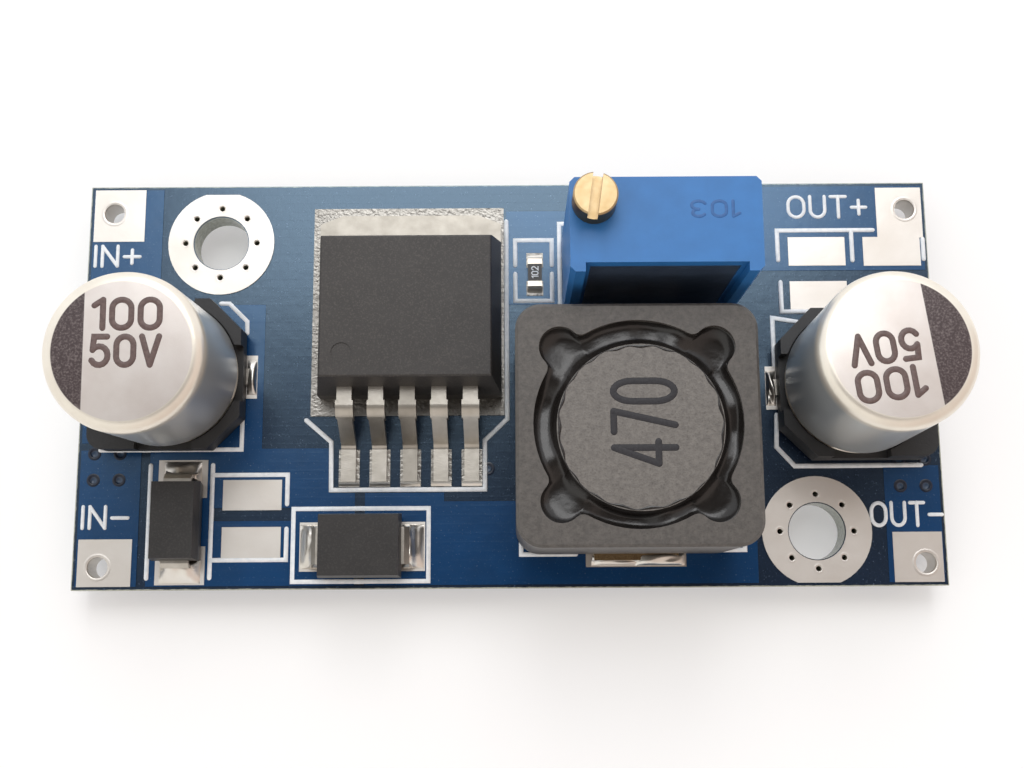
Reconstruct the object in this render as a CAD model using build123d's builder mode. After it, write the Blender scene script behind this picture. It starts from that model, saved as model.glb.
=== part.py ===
from build123d import *
import os
from math import cos, hypot, radians, sin

# Adjustable step-down power module: a bare circuit board that carries a switching regulator,
# a shielded inductor, two electrolytic capacitors, two rectifier diodes, a chip resistor and
# a multiturn trimmer with a turning brass screw. Millimetres. The origin is at the middle of
# the board, level with the tips of the trimmer's pins; +X runs along the board's length,
# +Y points to the trimmer's edge of it, and +Z points up.

# Circuit board
board_length = 48.0
board_width = 23.0
board_thickness = 1.6
pin_reach = 1.0          # the trimmer's pins stand out this far under the board
underside = pin_reach
topside = underside + board_thickness
foil_height = 0.04       # masked copper over the laminate
land_height = 0.07       # tinned copper over the laminate
seat = topside + land_height
edge_margin = 0.2        # copper keeps this far from the board's edge
left_edge = -board_length / 2
right_edge = board_length / 2
front_edge = -board_width / 2
back_edge = board_width / 2
left_limit = left_edge + edge_margin
right_limit = right_edge - edge_margin
front_limit = front_edge + edge_margin
back_limit = back_edge - edge_margin


def from_corner(side_x, side_y, inset):
    """A place at an inset from one corner of the board; the sides are -1 or 1."""
    return (side_x * (board_length / 2 - inset[0]), side_y * (board_width / 2 - inset[1]))


# Screw holes, on the two far corners of a rectangle, with a ring of small vias round each
screw_hole_radius = 1.55
left_screw_inset = (7.58, 3.39)
right_screw_inset = (7.1, 3.0)
left_screw_hole = from_corner(-1, 1, left_screw_inset)
right_screw_hole = from_corner(1, -1, right_screw_inset)
screw_land_radius = 3.03
screw_land_gap = 0.05
stitch_count = 8
stitch_circle_radius = 2.04
stitch_radius = 0.19
left_flat_inset = 0.51   # each ring of land is cut flat beside the near edge of the board
right_flat_inset = 0.2

# Wire holes at the corners, on a true rectangle
wire_bore = 0.57
plating = 0.05
wire_inset_x = 1.3
wire_inset_y = 1.425
wire_shift = (0.1, -0.175)
wire_spacing_x = board_length - 2 * wire_inset_x
wire_spacing_y = board_width - 2 * wire_inset_y
wire_left = wire_shift[0] - wire_spacing_x / 2
wire_right = wire_shift[0] + wire_spacing_x / 2
wire_front = wire_shift[1] - wire_spacing_y / 2
wire_back = wire_shift[1] + wire_spacing_y / 2

# Signal vias: two groups of four and a single one
via_radius = 0.3
via_sides = 6            # small holes are six-sided, which keeps the model light
via_pitch_x = 1.42
via_pitch_y = 1.47
via_inset_x = 1.65
left_via_y = -4.72
right_via_y = -5.3
single_via = (-1.18, -4.94)

# Regulator
regulator_x = -5.48
lead_pitch = 1.702
lead_count = 5
lead_width = 0.81
lead_stub_width = 0.95   # where the strip between the leads was cut away
lead_thickness = 0.42
lead_exit_height = 2.55
lead_shoulder_y = -2.05
lead_foot_y = -3.6
lead_tip_y = -5.67
lead_root = 0.9          # length held inside the body
lead_stub_low_y = -2.45
lead_stub_high_y = -1.5
lead_bend_radius = 0.55
tab_width = 10.16
tab_thickness = 1.27
tab_back_y = 9.27
tab_front_y = 0.9
tab_chamfer_x = 1.25
tab_chamfer_y = 0.5
ramp_foot_inset = 1.6    # where the middle lead leaves the tab
ramp_top_inset = 0.2     # where it levels out inside the body
body_front_y = -1.0
body_back_y = 7.7
body_height = 4.4
body_draft = 9.0
ejector_radius = 0.55
ejector_depth = 0.05
ejector_place = (-3.39, 0.78)
body_edge_radius = 0.12
tab_land_low = (-11.1, -1.95)
tab_land_high = (-0.25, 10.1)
lead_land_width = 1.15
lead_land_low_y = -5.92
lead_land_high_y = -3.85

# Shielded inductor
inductor_x = 6.46
inductor_y = -3.56
inductor_size = 12.25
inductor_top = 7.8
inductor_corner = 1.3
inductor_edge = 0.15
terminal_thickness = 0.25
shield_bore_radius = 5.25
lobe_radius = 1.05
lobe_distance = 5.5
lobe_neck_radius = 0.5
drum_shift = (0.12, -0.16)
drum_top_radius = 4.2
drum_flange_radius = 4.75
drum_post_radius = 2.3
drum_flange_thickness = 1.3
drum_top_drop = 0.08
winding_radius = 4.1
winding_gap = 0.05
winding_sides = 24       # sealed inside, so it is many-sided
glue_drop = 0.5
glue_depth = 0.9
inductor_terminal_shift = 0.45   # the terminals stand a little right of the body's middle
inductor_terminal_width = 4.6
inductor_terminal_inset = 2.6
inductor_terminal_reach = 0.35
inductor_land_width = 5.5
inductor_land_reach = 0.7
inductor_land_inset = 2.9
inductor_terminal_x = inductor_x + inductor_terminal_shift

# Electrolytic capacitors, which lean a little as soldered
can_radius = 4.03
can_top = 9.62
can_rim = (0.58, 0.6)    # how far the rounded rim reaches in and down
can_rim_crown = (0.17, 0.17)   # the point in the middle of the rim, in and down
can_foot = 1.0
can_foot_radius = 3.9
bead_radius = 3.6        # the groove rolled round the can's foot
bead_middle = 1.6
bead_high = 1.95
base_size = 8.3
base_lift = 0.14
base_post_top = 1.75
base_post_gap = 3.1
base_chamfer = 1.75
base_corner_radius = 0.8
can_clearance = 0.06
cap_lead_width = 0.9
cap_lead_thickness = 0.2
cap_lead_gap = 3.0
cap_lead_reach = 0.42
cap_land_width = 2.45
cap_land_inner = 1.6
cap_land_reach = 0.58
input_cap_inset = 5.14
input_cap_centre = (left_edge + input_cap_inset, 0.3)
input_cap_lean = 2.5     # degrees, towards the front edge
output_cap_inset = 4.88
output_cap_centre = (right_edge - output_cap_inset, -0.5)
output_cap_lean = -1.7
cap_lift = 0.06          # solder under the feet of a leaning part

# Diodes
catch_diode_inset = 2.3
catch_diode_centre = (-8.1, front_edge + catch_diode_inset)
catch_body = (4.5, 3.45)
catch_terminal_width = 2.0
catch_land = (2.1, 2.68)
catch_land_span = 6.9
protection_diode_inset = (5.92, 3.7)
protection_diode_centre = from_corner(-1, -1, protection_diode_inset)
protection_body = (4.3, 2.5)
protection_terminal_width = 1.5
protection_land = (2.1, 2.72)
protection_land_span = 6.86
diode_height = 2.15
diode_lift = 0.1
diode_parting = 1.15
diode_draft = 6.0
diode_terminal_thickness = 0.2
diode_terminal_reach = 0.3
diode_foot_length = 0.95
diode_bend = 0.2
diode_root = 0.4

# Chip resistor
resistor_centre = (1.51, 6.16)
resistor_length = 1.6
resistor_width = 0.82
resistor_height = 0.45
resistor_cap_length = 0.3
resistor_skin = 0.02
resistor_land = (0.85, 0.95)
resistor_land_span = 2.5

# Lands for parts that aren't fitted: two at the input end and two at the output end
spare_land = (3.25, 1.68)
spare_pitch = 2.6
left_spare_inset = (9.78, 3.87)
right_spare_inset = (6.36, 5.38)
spare_land_places = [
    (x, y + side * spare_pitch / 2)
    for x, y in (from_corner(-1, -1, left_spare_inset), from_corner(1, 1, right_spare_inset))
    for side in (-1, 1)
]

# Multiturn trimmer
trimmer_x = 7.83
trimmer_y = 6.03
trimmer_length = 9.53
trimmer_depth = 4.83
trimmer_height = 10.03
trimmer_foot = 0.25      # feet that hold the housing off the board
trimmer_foot_size = 1.3
trimmer_corner = 0.25     # flats on the upright edges
recess_side = 0.75       # legs left beside the recess in the front face
recess_depth = 0.46
pocket_wall = 0.27
pocket_floor = 0.7
pocket_roof = 0.75
potting_depth = 0.6
potting_setback = 0.05
element_thickness = 0.6
trimmer_front = trimmer_y - trimmer_depth / 2
trimmer_back = trimmer_y + trimmer_depth / 2
trimmer_left = trimmer_x - trimmer_length / 2
trimmer_bottom = topside + foil_height
trimmer_top = trimmer_bottom + trimmer_height
recess_face = trimmer_front + recess_depth
element_front = recess_face + potting_depth
element_back = element_front + element_thickness
pocket_length = trimmer_length - 2 * (recess_side + pocket_wall)
pocket_low = trimmer_bottom + trimmer_foot + pocket_floor
pocket_high = trimmer_top - pocket_roof

# Worm drive in the trimmer: one turn of the screw moves the wheel on by one tooth
wheel_teeth = 30
wheel_module = 0.2067
wheel_radius = wheel_module * wheel_teeth / 2
tooth_height = 0.2
tooth_root_depth = 0.25
tooth_root_width = 0.36
tooth_tip_width = 0.14
wheel_thickness = 0.9
wheel_side_gap = 0.09
wheel_play = 0.3
worm_radius = 0.75
worm_core_radius = worm_radius - tooth_root_depth
worm_crest_radius = worm_radius + tooth_height
screw_inset_x = 1.2      # from the housing's left face to the screw's axis
screw_inset_y = 1.34     # from the housing's back face to the screw's axis
screw_x = trimmer_left + screw_inset_x
screw_y = trimmer_back - screw_inset_y
mesh_gap = 0.02
wheel_x = screw_x + worm_radius + wheel_radius + mesh_gap
wheel_z = (pocket_low + pocket_high) / 2
running_gap = 0.04
head_radius = 1.1
head_height = 1.48
head_gap = 0.03
slot_width = 0.5
slot_depth = 0.7
slot_angle = -8.0
head_chamfer = 0.08
neck_radius = 0.7
top_wall = 0.45
collar_height = 0.3
worm_lift = 0.35         # from the floor of its channel to the worm
seal_width = 0.24
seal_height = 0.24
seal_gap = 0.01
seal_sides = 16          # a hidden ring, so it is many-sided
pivot_length = 0.4
axle_radius = 0.6
axle_length = 0.6
hub_radius = 1.1
wiper_ring_width = 0.55
wiper_thickness = 0.12
wiper_width = 0.7
wiper_bend = 2.2
wiper_reach = 2.7
wiper_gap = 0.05
channel_radius = worm_crest_radius + running_gap
channel_top = trimmer_top - top_wall
wheel_back = screw_y + wheel_thickness / 2
wheel_front = screw_y - wheel_thickness / 2
cavity_back = wheel_back + wheel_side_gap
collar_top = channel_top - seal_height - 2 * seal_gap
worm_low = pocket_low + worm_lift
worm_high = collar_top - collar_height

# Trimmer pins
pin_radius = 0.25
pin_pitch = 2.54
pin_y = (recess_face + potting_setback + element_front) / 2
pin_hold = 1.2           # length of each pin inside the potting
pin_top = pocket_low + pin_hold
pin_sides = 8            # the pins and what fits round them are eight-sided
pin_bore = 0.45
pin_land_radius = 0.9
cone_radius = 0.78
cone_height = 0.68
cone_tip_radius = 0.4

# Solder: how far each fillet runs out over its land, and how high it climbs
lead_solder = (0.22, 0.3)
tab_solder = (0.4, 0.5)
cap_solder = (0.15, 0.18)
diode_solder = (0.45, 0.75)
inductor_solder = (0.33, 0.22)
resistor_solder = (0.3, 0.36)
solder_side = 0.15       # the solder is this much wider than the piece it holds, on each side

# Copper under the mask: each area is made of blocks, given by two opposite corners
input_strip_width = 4.19     # from the board's end
input_area_width = 10.23
input_area_low = -3.4
input_area_high = 4.48
lane_inset = 4.05
lane_top = -3.75
lane_setback = 4.47          # how far left of the regulator's middle the lane's upper part ends
catch_setback = 3.07
catch_top = -6.25
ground_width = 3.55
ground_top = -3.8
switch_setback = 2.51
switch_step = 1.86           # how far right of the regulator's middle the switch area steps down
switch_top = -6.74
switch_right = 13.6
output_inset = (9.7, 5.2)
return_inset = (3.25, 6.6)
sense_low = (-0.1, 4.4)
sense_high = (12.9, 9.9)
sense_step = (3.2, 3.3)
lane_left = left_edge + lane_inset
input_area_right = left_edge + input_area_width
switch_left = regulator_x - switch_setback
front_left = (left_limit, front_limit)
front_right = (right_limit, front_limit)
back_left = (left_limit, back_limit)
back_right = (right_limit, back_limit)
copper_blocks = [
    (back_left, (left_edge + input_strip_width, input_area_high)),
    ((left_limit, input_area_low), (input_area_right, input_area_high)),
    ((lane_left, front_limit), (input_area_right, input_area_low)),
    ((lane_left, front_limit), (regulator_x - lane_setback, lane_top)),
    ((lane_left, front_limit), (regulator_x - catch_setback, catch_top)),
    (front_left, (left_edge + ground_width, ground_top)),
    ((switch_left, front_limit), (switch_right, switch_top)),
    ((switch_left, switch_top), (regulator_x + switch_step, catch_top)),
    (back_right, from_corner(1, 1, output_inset)),
    (front_right, from_corner(1, -1, return_inset)),
    (sense_low, sense_high),
    (sense_step, (sense_high[0], sense_low[1])),
]
pour_gap_inset = (9.8, 4.1)
pour_gap_size = (4.25, 0.72)
pour_gap_centre = from_corner(-1, -1, pour_gap_inset)

lead_places = [regulator_x + (i - (lead_count - 1) / 2) * lead_pitch for i in range(lead_count)]
pin_places = [(trimmer_x + i * pin_pitch, pin_y) for i in (-1, 0, 1)]
wire_holes = {
    "input_plus_pad": (wire_left, wire_back),
    "input_minus_pad": (wire_left, wire_front),
    "output_plus_pad": (wire_right, wire_back),
    "output_minus_pad": (wire_right, wire_front),
}
# Corner pads: each is made of blocks, given by the insets of two corners from the board's corner
input_plus_inset = [((0.25, 0.2), (3.16, 3.27))]
input_minus_inset = [((0.3, 0.2), (3.25, 2.78))]
output_plus_inset = [((0.22, 0.31), (2.83, 3.3)), ((0.43, 3.25), (3.7, 4.95))]
output_minus_inset = [((0.25, 0.2), (2.96, 2.93))]
pad_blocks = {
    name: [[from_corner(side_x, side_y, inset) for inset in pair] for pair in insets]
    for name, side_x, side_y, insets in (
        ("input_plus_pad", -1, 1, input_plus_inset),
        ("input_minus_pad", -1, -1, input_minus_inset),
        ("output_plus_pad", 1, 1, output_plus_inset),
        ("output_minus_pad", 1, -1, output_minus_inset),
    )
}
pieces = {}


def block(corner, opposite):
    """A rectangle in the current sketch between two opposite corners."""
    with Locations(((corner[0] + opposite[0]) / 2, (corner[1] + opposite[1]) / 2)):
        Rectangle(abs(opposite[0] - corner[0]), abs(opposite[1] - corner[1]))


def pair_of_lands(centre, size, span, along_x):
    """Two equal lands whose outer ends are a span apart, along X or along Y."""
    offset = (span - size[0]) / 2
    for side in (-1, 1):
        shift = (side * offset, 0) if along_x else (0, side * offset)
        with Locations((centre[0] + shift[0], centre[1] + shift[1])):
            Rectangle(*(size if along_x else (size[1], size[0])))


# Outlines of the lands, used for the lands and for the copper that is masked round them
with BuildSketch() as regulator_outline:
    block(tab_land_low, tab_land_high)
    for x in lead_places:
        block((x - lead_land_width / 2, lead_land_low_y), (x + lead_land_width / 2, lead_land_high_y))

with BuildSketch() as inductor_outline:
    for side in (-1, 1):
        inner = inductor_y + side * (inductor_size / 2 - inductor_land_inset)
        outer = inductor_y + side * (inductor_size / 2 + inductor_land_reach)
        low_x = inductor_terminal_x - inductor_land_width / 2
        block((low_x, inner), (low_x + inductor_land_width, outer))

with BuildSketch() as capacitor_outline:
    for centre in (input_cap_centre, output_cap_centre):
        outer_end = base_size / 2 + cap_land_reach
        length = outer_end - cap_land_inner
        pair_of_lands(centre, (length, cap_land_width), 2 * outer_end, along_x=True)

with BuildSketch() as diode_outline:
    pair_of_lands(catch_diode_centre, catch_land, catch_land_span, along_x=True)
    pair_of_lands(protection_diode_centre, protection_land, protection_land_span, along_x=False)

with BuildSketch() as resistor_outline:
    pair_of_lands(resistor_centre, resistor_land, resistor_land_span, along_x=False)

with BuildSketch() as spare_outline:
    with Locations(*spare_land_places):
        Rectangle(*spare_land)

with BuildSketch() as trimmer_pad_outline:
    with Locations(*pin_places):
        RegularPolygon(pin_land_radius, pin_sides)

with BuildSketch() as wire_pad_outline:
    for blocks in pad_blocks.values():
        for low, high in blocks:
            block(low, high)


def screw_ring(centre, flat_side, flat):
    """A ring of land about a screw hole, cut flat beside the board's near edge."""
    with BuildSketch() as ring:
        with Locations(centre):
            Circle(screw_land_radius)
            Circle(screw_hole_radius + screw_land_gap, mode=Mode.SUBTRACT)
        far = flat + flat_side * 2 * screw_land_radius
        width = 3 * screw_land_radius
        with Locations((centre[0], (flat + far) / 2)):
            Rectangle(width, abs(far - flat), mode=Mode.SUBTRACT)
        with Locations(centre):
            with PolarLocations(stitch_circle_radius, stitch_count):
                RegularPolygon(stitch_radius, via_sides, mode=Mode.SUBTRACT)
    return ring.sketch


screw_rings = {
    "left_screw_land": screw_ring(left_screw_hole, 1, back_edge - left_flat_inset),
    "right_screw_land": screw_ring(right_screw_hole, -1, front_edge + right_flat_inset),
}
left_via_x = left_edge + via_inset_x
right_via_x = right_edge - via_inset_x
via_places = [single_via] + [
    (x + i * via_pitch_x / 2, y + j * via_pitch_y / 2)
    for x, y in ((left_via_x, left_via_y), (right_via_x, right_via_y))
    for i in (-1, 1)
    for j in (-1, 1)
]

# Circuit board: laminate, drilled for the screws, wires, pins and vias
with BuildPart() as circuit_board:
    with BuildSketch(Plane.XY.offset(underside)):
        Rectangle(board_length, board_width)
        with Locations(left_screw_hole, right_screw_hole):
            Circle(screw_hole_radius, mode=Mode.SUBTRACT)
            with PolarLocations(stitch_circle_radius, stitch_count):
                RegularPolygon(stitch_radius, via_sides, mode=Mode.SUBTRACT)
        with Locations(*wire_holes.values()):
            RegularPolygon(wire_bore + plating, pin_sides, major_radius=False, mode=Mode.SUBTRACT)
        with Locations(*pin_places):
            RegularPolygon(pin_bore, pin_sides, mode=Mode.SUBTRACT)
        with Locations(*via_places):
            RegularPolygon(via_radius, via_sides, mode=Mode.SUBTRACT)
    extrude(amount=board_thickness)
pieces["circuit_board"] = circuit_board.part


# Masked copper on the top: flat areas with openings for the lands and holes
with BuildPart() as top_copper:
    with BuildSketch(Plane.XY.offset(topside)):
        for low, high in copper_blocks:
            block(low, high)
        with Locations(pour_gap_centre):
            Rectangle(*pour_gap_size, mode=Mode.SUBTRACT)
        for outline in (
            regulator_outline, inductor_outline, capacitor_outline, diode_outline,
            resistor_outline, spare_outline, wire_pad_outline,
        ):
            add(outline.sketch, mode=Mode.SUBTRACT)
        with Locations(*pin_places):
            RegularPolygon(pin_bore, pin_sides, mode=Mode.SUBTRACT)
        with Locations(left_screw_hole, right_screw_hole):
            Circle(screw_land_radius, mode=Mode.SUBTRACT)
        with Locations(*via_places):
            RegularPolygon(via_radius, via_sides, mode=Mode.SUBTRACT)
    extrude(amount=foil_height)
pieces["top_copper"] = top_copper.part


# Lands on the top: tinned copper
for name, outline in {
    "regulator_lands": regulator_outline.sketch,
    "inductor_lands": inductor_outline.sketch,
    "capacitor_lands": capacitor_outline.sketch,
    "diode_lands": diode_outline.sketch,
    "resistor_lands": resistor_outline.sketch,
    "spare_lands": spare_outline.sketch,
    **screw_rings,
}.items():
    with BuildPart() as lands:
        with BuildSketch(Plane.XY.offset(topside)):
            add(outline)
        extrude(amount=land_height)
    pieces[name] = lands.part

# Wire pads: land on the top, with a plated barrel down through the board
for name, blocks in pad_blocks.items():
    with BuildPart() as wire_pad:
        with BuildSketch(Plane.XY.offset(topside)):
            for low, high in blocks:
                block(low, high)
        extrude(amount=land_height)
        with BuildSketch(Plane.XY.offset(underside)):
            with Locations(wire_holes[name]):
                RegularPolygon(wire_bore + plating, pin_sides, major_radius=False)
        extrude(amount=board_thickness)
        with BuildSketch(Plane.XY.offset(underside)):
            with Locations(wire_holes[name]):
                Circle(wire_bore)
        extrude(amount=board_thickness + land_height, mode=Mode.SUBTRACT)
    pieces[name] = wire_pad.part

# Trimmer pads: lands on the underside, round the pins
with BuildPart() as trimmer_pads:
    with BuildSketch(Plane.XY.offset(underside)):
        add(trimmer_pad_outline.sketch)
        with Locations(*pin_places):
            RegularPolygon(pin_bore, pin_sides, mode=Mode.SUBTRACT)
    extrude(amount=-land_height)
pieces["trimmer_pads"] = trimmer_pads.part


def regulator_lead(x, root):
    """A flat strip from its root in the body, bent down to a foot on its land."""
    exit_z = seat + lead_exit_height
    foot_z = seat + lead_thickness / 2
    with BuildPart() as lead:
        with BuildSketch(Plane.YZ.offset(x)):
            with BuildLine():
                FilletPolyline(
                    *root,
                    (lead_shoulder_y, exit_z),
                    (lead_foot_y, foot_z),
                    (lead_tip_y, foot_z),
                    radius=lead_bend_radius,
                )
            trace(line_width=lead_thickness)
        extrude(amount=lead_stub_width / 2, both=True)
        with BuildSketch(Plane.XY.offset(seat)):
            block((x - lead_width / 2, lead_tip_y), (x + lead_width / 2, body_back_y))
            block(
                (x - lead_stub_width / 2, lead_stub_low_y),
                (x + lead_stub_width / 2, lead_stub_high_y),
            )
        extrude(amount=body_height, mode=Mode.INTERSECT)
    return lead.part


# Regulator leads: four are held by the moulding alone, the middle one is part of the tab
lead_root_point = (body_front_y + lead_root, seat + lead_exit_height)
middle_lead = lead_count // 2
for i, x in enumerate(lead_places):
    if i != middle_lead:
        pieces[f"regulator_lead_{i + 1}"] = regulator_lead(x, [lead_root_point])
ramp_foot = (tab_front_y + ramp_foot_inset, seat + tab_thickness - lead_thickness / 2)
ramp_top = (tab_front_y + ramp_top_inset, seat + lead_exit_height)
tab_lead = regulator_lead(lead_places[middle_lead], [ramp_foot, ramp_top])

# Regulator tab: a thick copper plate, and the middle lead that rises from it
with BuildPart() as regulator_tab:
    with BuildSketch(Plane.XY.offset(seat)):
        with BuildLine():
            half = tab_width / 2
            Polyline(
                (regulator_x - half, tab_front_y),
                (regulator_x + half, tab_front_y),
                (regulator_x + half, tab_back_y - tab_chamfer_y),
                (regulator_x + half - tab_chamfer_x, tab_back_y),
                (regulator_x - half + tab_chamfer_x, tab_back_y),
                (regulator_x - half, tab_back_y - tab_chamfer_y),
                close=True,
            )
        make_face()
    extrude(amount=tab_thickness)
    add(tab_lead)
pieces["regulator_tab"] = regulator_tab.part

# Regulator body: moulded round the tab and the roots of the leads, with drafted walls
with BuildPart() as regulator_body:
    body_length = body_back_y - body_front_y
    body_centre = (regulator_x, (body_back_y + body_front_y) / 2)
    with BuildSketch(Plane.XY.offset(seat)):
        with Locations(body_centre):
            Rectangle(tab_width, body_length)
    extrude(amount=tab_thickness)
    with BuildSketch(Plane.XY.offset(seat + tab_thickness)):
        with Locations(body_centre):
            Rectangle(tab_width, body_length)
    extrude(amount=body_height - tab_thickness, taper=body_draft)
    fillet(regulator_body.edges().group_by(Axis.Z)[-1], body_edge_radius)
    with BuildSketch(Plane.XY.offset(seat + body_height)):
        with Locations((regulator_x + ejector_place[0], ejector_place[1])):
            Circle(ejector_radius)
    extrude(amount=-ejector_depth, mode=Mode.SUBTRACT)
    add(regulator_tab.part, mode=Mode.SUBTRACT)
    for i in range(lead_count):
        if i != middle_lead:
            add(pieces[f"regulator_lead_{i + 1}"], mode=Mode.SUBTRACT)
pieces["regulator_body"] = regulator_body.part

# Inductor terminals: plates under the shield that reach past its front and back walls
shield_bottom = seat + terminal_thickness
shield_top = topside + inductor_top
for name, side in {"inductor_terminal_front": -1, "inductor_terminal_back": 1}.items():
    with BuildPart() as inductor_terminal:
        inner = inductor_y + side * (inductor_size / 2 - inductor_terminal_inset)
        outer = inductor_y + side * (inductor_size / 2 + inductor_terminal_reach)
        low_x = inductor_terminal_x - inductor_terminal_width / 2
        with BuildSketch(Plane.XY.offset(seat)):
            block((low_x, inner), (low_x + inductor_terminal_width, outer))
        extrude(amount=terminal_thickness)
    pieces[name] = inductor_terminal.part

# Inductor shield: a square ferrite ring whose bore has a round lobe towards each corner
with BuildSketch() as moat:
    with Locations((inductor_x, inductor_y)):
        Circle(shield_bore_radius)
        with PolarLocations(lobe_distance, 4, start_angle=45):
            Circle(lobe_radius)

with BuildSketch() as shield_bore:
    add(moat.sketch)
    fillet(shield_bore.vertices(), lobe_neck_radius)

with BuildPart() as inductor_shield:
    with BuildSketch(Plane.XY.offset(shield_bottom)):
        with Locations((inductor_x, inductor_y)):
            RectangleRounded(inductor_size, inductor_size, inductor_corner)
    extrude(amount=shield_top - shield_bottom)
    chamfer(inductor_shield.edges().group_by(Axis.Z)[-1], inductor_edge)
    with BuildSketch(Plane.XY.offset(shield_bottom)):
        add(shield_bore.sketch)
    extrude(amount=shield_top - shield_bottom, mode=Mode.SUBTRACT)
pieces["inductor_shield"] = inductor_shield.part

# Inductor drum: a ferrite spool with a flange at each end, a little off the bore's centre
drum_x = inductor_x + drum_shift[0]
drum_y = inductor_y + drum_shift[1]
drum_top = shield_top - drum_top_drop
with BuildPart() as inductor_drum:
    with BuildSketch(Plane(origin=(drum_x, drum_y, 0), x_dir=(1, 0, 0), z_dir=(0, -1, 0))):
        with BuildLine():
            Polyline(
                (0, shield_bottom),
                (drum_flange_radius, shield_bottom),
                (drum_flange_radius, shield_bottom + drum_flange_thickness),
                (drum_post_radius, shield_bottom + drum_flange_thickness),
                (drum_post_radius, drum_top - drum_flange_thickness),
                (drum_top_radius, drum_top - drum_flange_thickness),
                (drum_top_radius, drum_top),
                (0, drum_top),
                close=True,
            )
        make_face()
    revolve(axis=Axis((drum_x, drum_y, 0), (0, 0, 1)))
pieces["inductor_drum"] = inductor_drum.part

# Inductor winding: the turns fill the drum's waist
with BuildPart() as inductor_winding:
    winding_low = shield_bottom + drum_flange_thickness + winding_gap
    winding_high = drum_top - drum_flange_thickness - winding_gap
    with BuildSketch(Plane.XY.offset(winding_low)):
        with Locations((drum_x, drum_y)):
            RegularPolygon(winding_radius, winding_sides)
            RegularPolygon(drum_post_radius + winding_gap, winding_sides, False, mode=Mode.SUBTRACT)
    extrude(amount=winding_high - winding_low)
pieces["inductor_winding"] = inductor_winding.part

# Inductor glue: fills the moat between the drum's top flange and the shield, and the lobes
with BuildPart() as inductor_glue:
    with BuildSketch(Plane.XY.offset(shield_top - glue_drop)):
        add(moat.sketch)
        with Locations((drum_x, drum_y)):
            Circle(drum_top_radius, mode=Mode.SUBTRACT)
    extrude(amount=-glue_depth)
pieces["inductor_glue"] = inductor_glue.part


def capacitor(name, centre, lean, positive_side):
    """A can crimped over its bung, on a base with corner posts and two flat leads."""
    tilt = radians(lean)
    stand = Plane(
        origin=(*centre, seat + cap_lift),
        x_dir=(positive_side, 0, 0),
        z_dir=(0, -sin(tilt), cos(tilt)),
    )
    rise = topside - (seat + cap_lift)

    with BuildPart() as can:
        side_view = Plane(origin=stand.origin, x_dir=stand.x_dir, z_dir=-stand.y_dir)
        top = can_top + rise
        with BuildSketch(side_view):
            with BuildLine():
                Polyline(
                    (0, can_foot),
                    (can_foot_radius, can_foot),
                    (bead_radius, bead_middle),
                    (can_radius, bead_high),
                    (can_radius, top - can_rim[1]),
                    (can_radius - can_rim_crown[0], top - can_rim_crown[1]),
                    (can_radius - can_rim[0], top),
                    (0, top),
                    close=True,
                )
            make_face()
        revolve(axis=Axis(stand.origin, stand.z_dir))
    pieces[f"{name}_can"] = can.part

    for sign, pole in ((1, "plus"), (-1, "minus")):
        with BuildPart() as lead:
            with BuildSketch(stand):
                inner = cap_lead_gap / 2
                outer = base_size / 2 + cap_lead_reach
                with Locations((sign * (inner + outer) / 2, 0)):
                    Rectangle(outer - inner, cap_lead_width)
            extrude(amount=cap_lead_thickness)
        pieces[f"{name}_lead_{pole}"] = lead.part

    with BuildPart() as base:
        with BuildSketch(stand.offset(base_lift)) as base_outline:
            half = base_size / 2
            with BuildLine():
                Polyline(
                    (-half, -half),
                    (half - base_chamfer, -half),
                    (half, base_chamfer - half),
                    (half, half - base_chamfer),
                    (half - base_chamfer, half),
                    (-half, half),
                    close=True,
                )
            make_face()
            fillet(base_outline.vertices().group_by(Axis.X)[0], base_corner_radius)
        extrude(amount=base_post_top - base_lift)
        with BuildSketch(stand.offset(can_foot)):
            Circle(can_radius + can_clearance)
            Rectangle(base_post_gap, 2 * base_size)
            Rectangle(2 * base_size, base_post_gap)
        extrude(amount=base_post_top, mode=Mode.SUBTRACT)
        for pole in ("plus", "minus"):
            add(pieces[f"{name}_lead_{pole}"], mode=Mode.SUBTRACT)
    pieces[f"{name}_base"] = base.part


capacitor("input_capacitor", input_cap_centre, input_cap_lean, 1)
capacitor("output_capacitor", output_cap_centre, output_cap_lean, -1)


def upright(origin, direction):
    """A vertical plane whose X runs along a direction over the board and whose Y is up."""
    return Plane(origin=origin, x_dir=(*direction, 0), z_dir=(direction[1], -direction[0], 0))


def diode(name, centre, body, terminal_width, along):
    """A moulded block, drafted both ways, with flat terminals folded down and under its ends."""
    length, width = body
    stand = Plane(origin=(*centre, seat), x_dir=(*along, 0), z_dir=(0, 0, 1))
    middle = diode_terminal_thickness / 2
    end = length / 2 + diode_terminal_reach
    ends = (-1, 1)
    for number, side in enumerate(ends, start=1):
        outwards = (side * along[0], side * along[1])
        with BuildPart() as terminal:
            with BuildSketch(upright(stand.origin, outwards)):
                with BuildLine():
                    Polyline(
                        (length / 2 - diode_root, diode_parting),
                        (end - diode_bend, diode_parting),
                        (end, diode_parting - diode_bend),
                        (end, middle),
                        (end - diode_foot_length, middle),
                    )
                trace(line_width=diode_terminal_thickness)
            extrude(amount=terminal_width / 2, both=True)
        pieces[f"{name}_terminal_{number}"] = terminal.part
    with BuildPart() as moulding:
        with BuildSketch(stand.offset(diode_parting)):
            Rectangle(length, width)
        extrude(amount=diode_height - diode_parting, taper=diode_draft)
        with BuildSketch(stand.offset(diode_parting)):
            Rectangle(length, width)
        extrude(amount=diode_parting - diode_lift, dir=(0, 0, -1), taper=diode_draft)
        for number in range(1, len(ends) + 1):
            add(pieces[f"{name}_terminal_{number}"], mode=Mode.SUBTRACT)
    pieces[f"{name}_body"] = moulding.part


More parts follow.
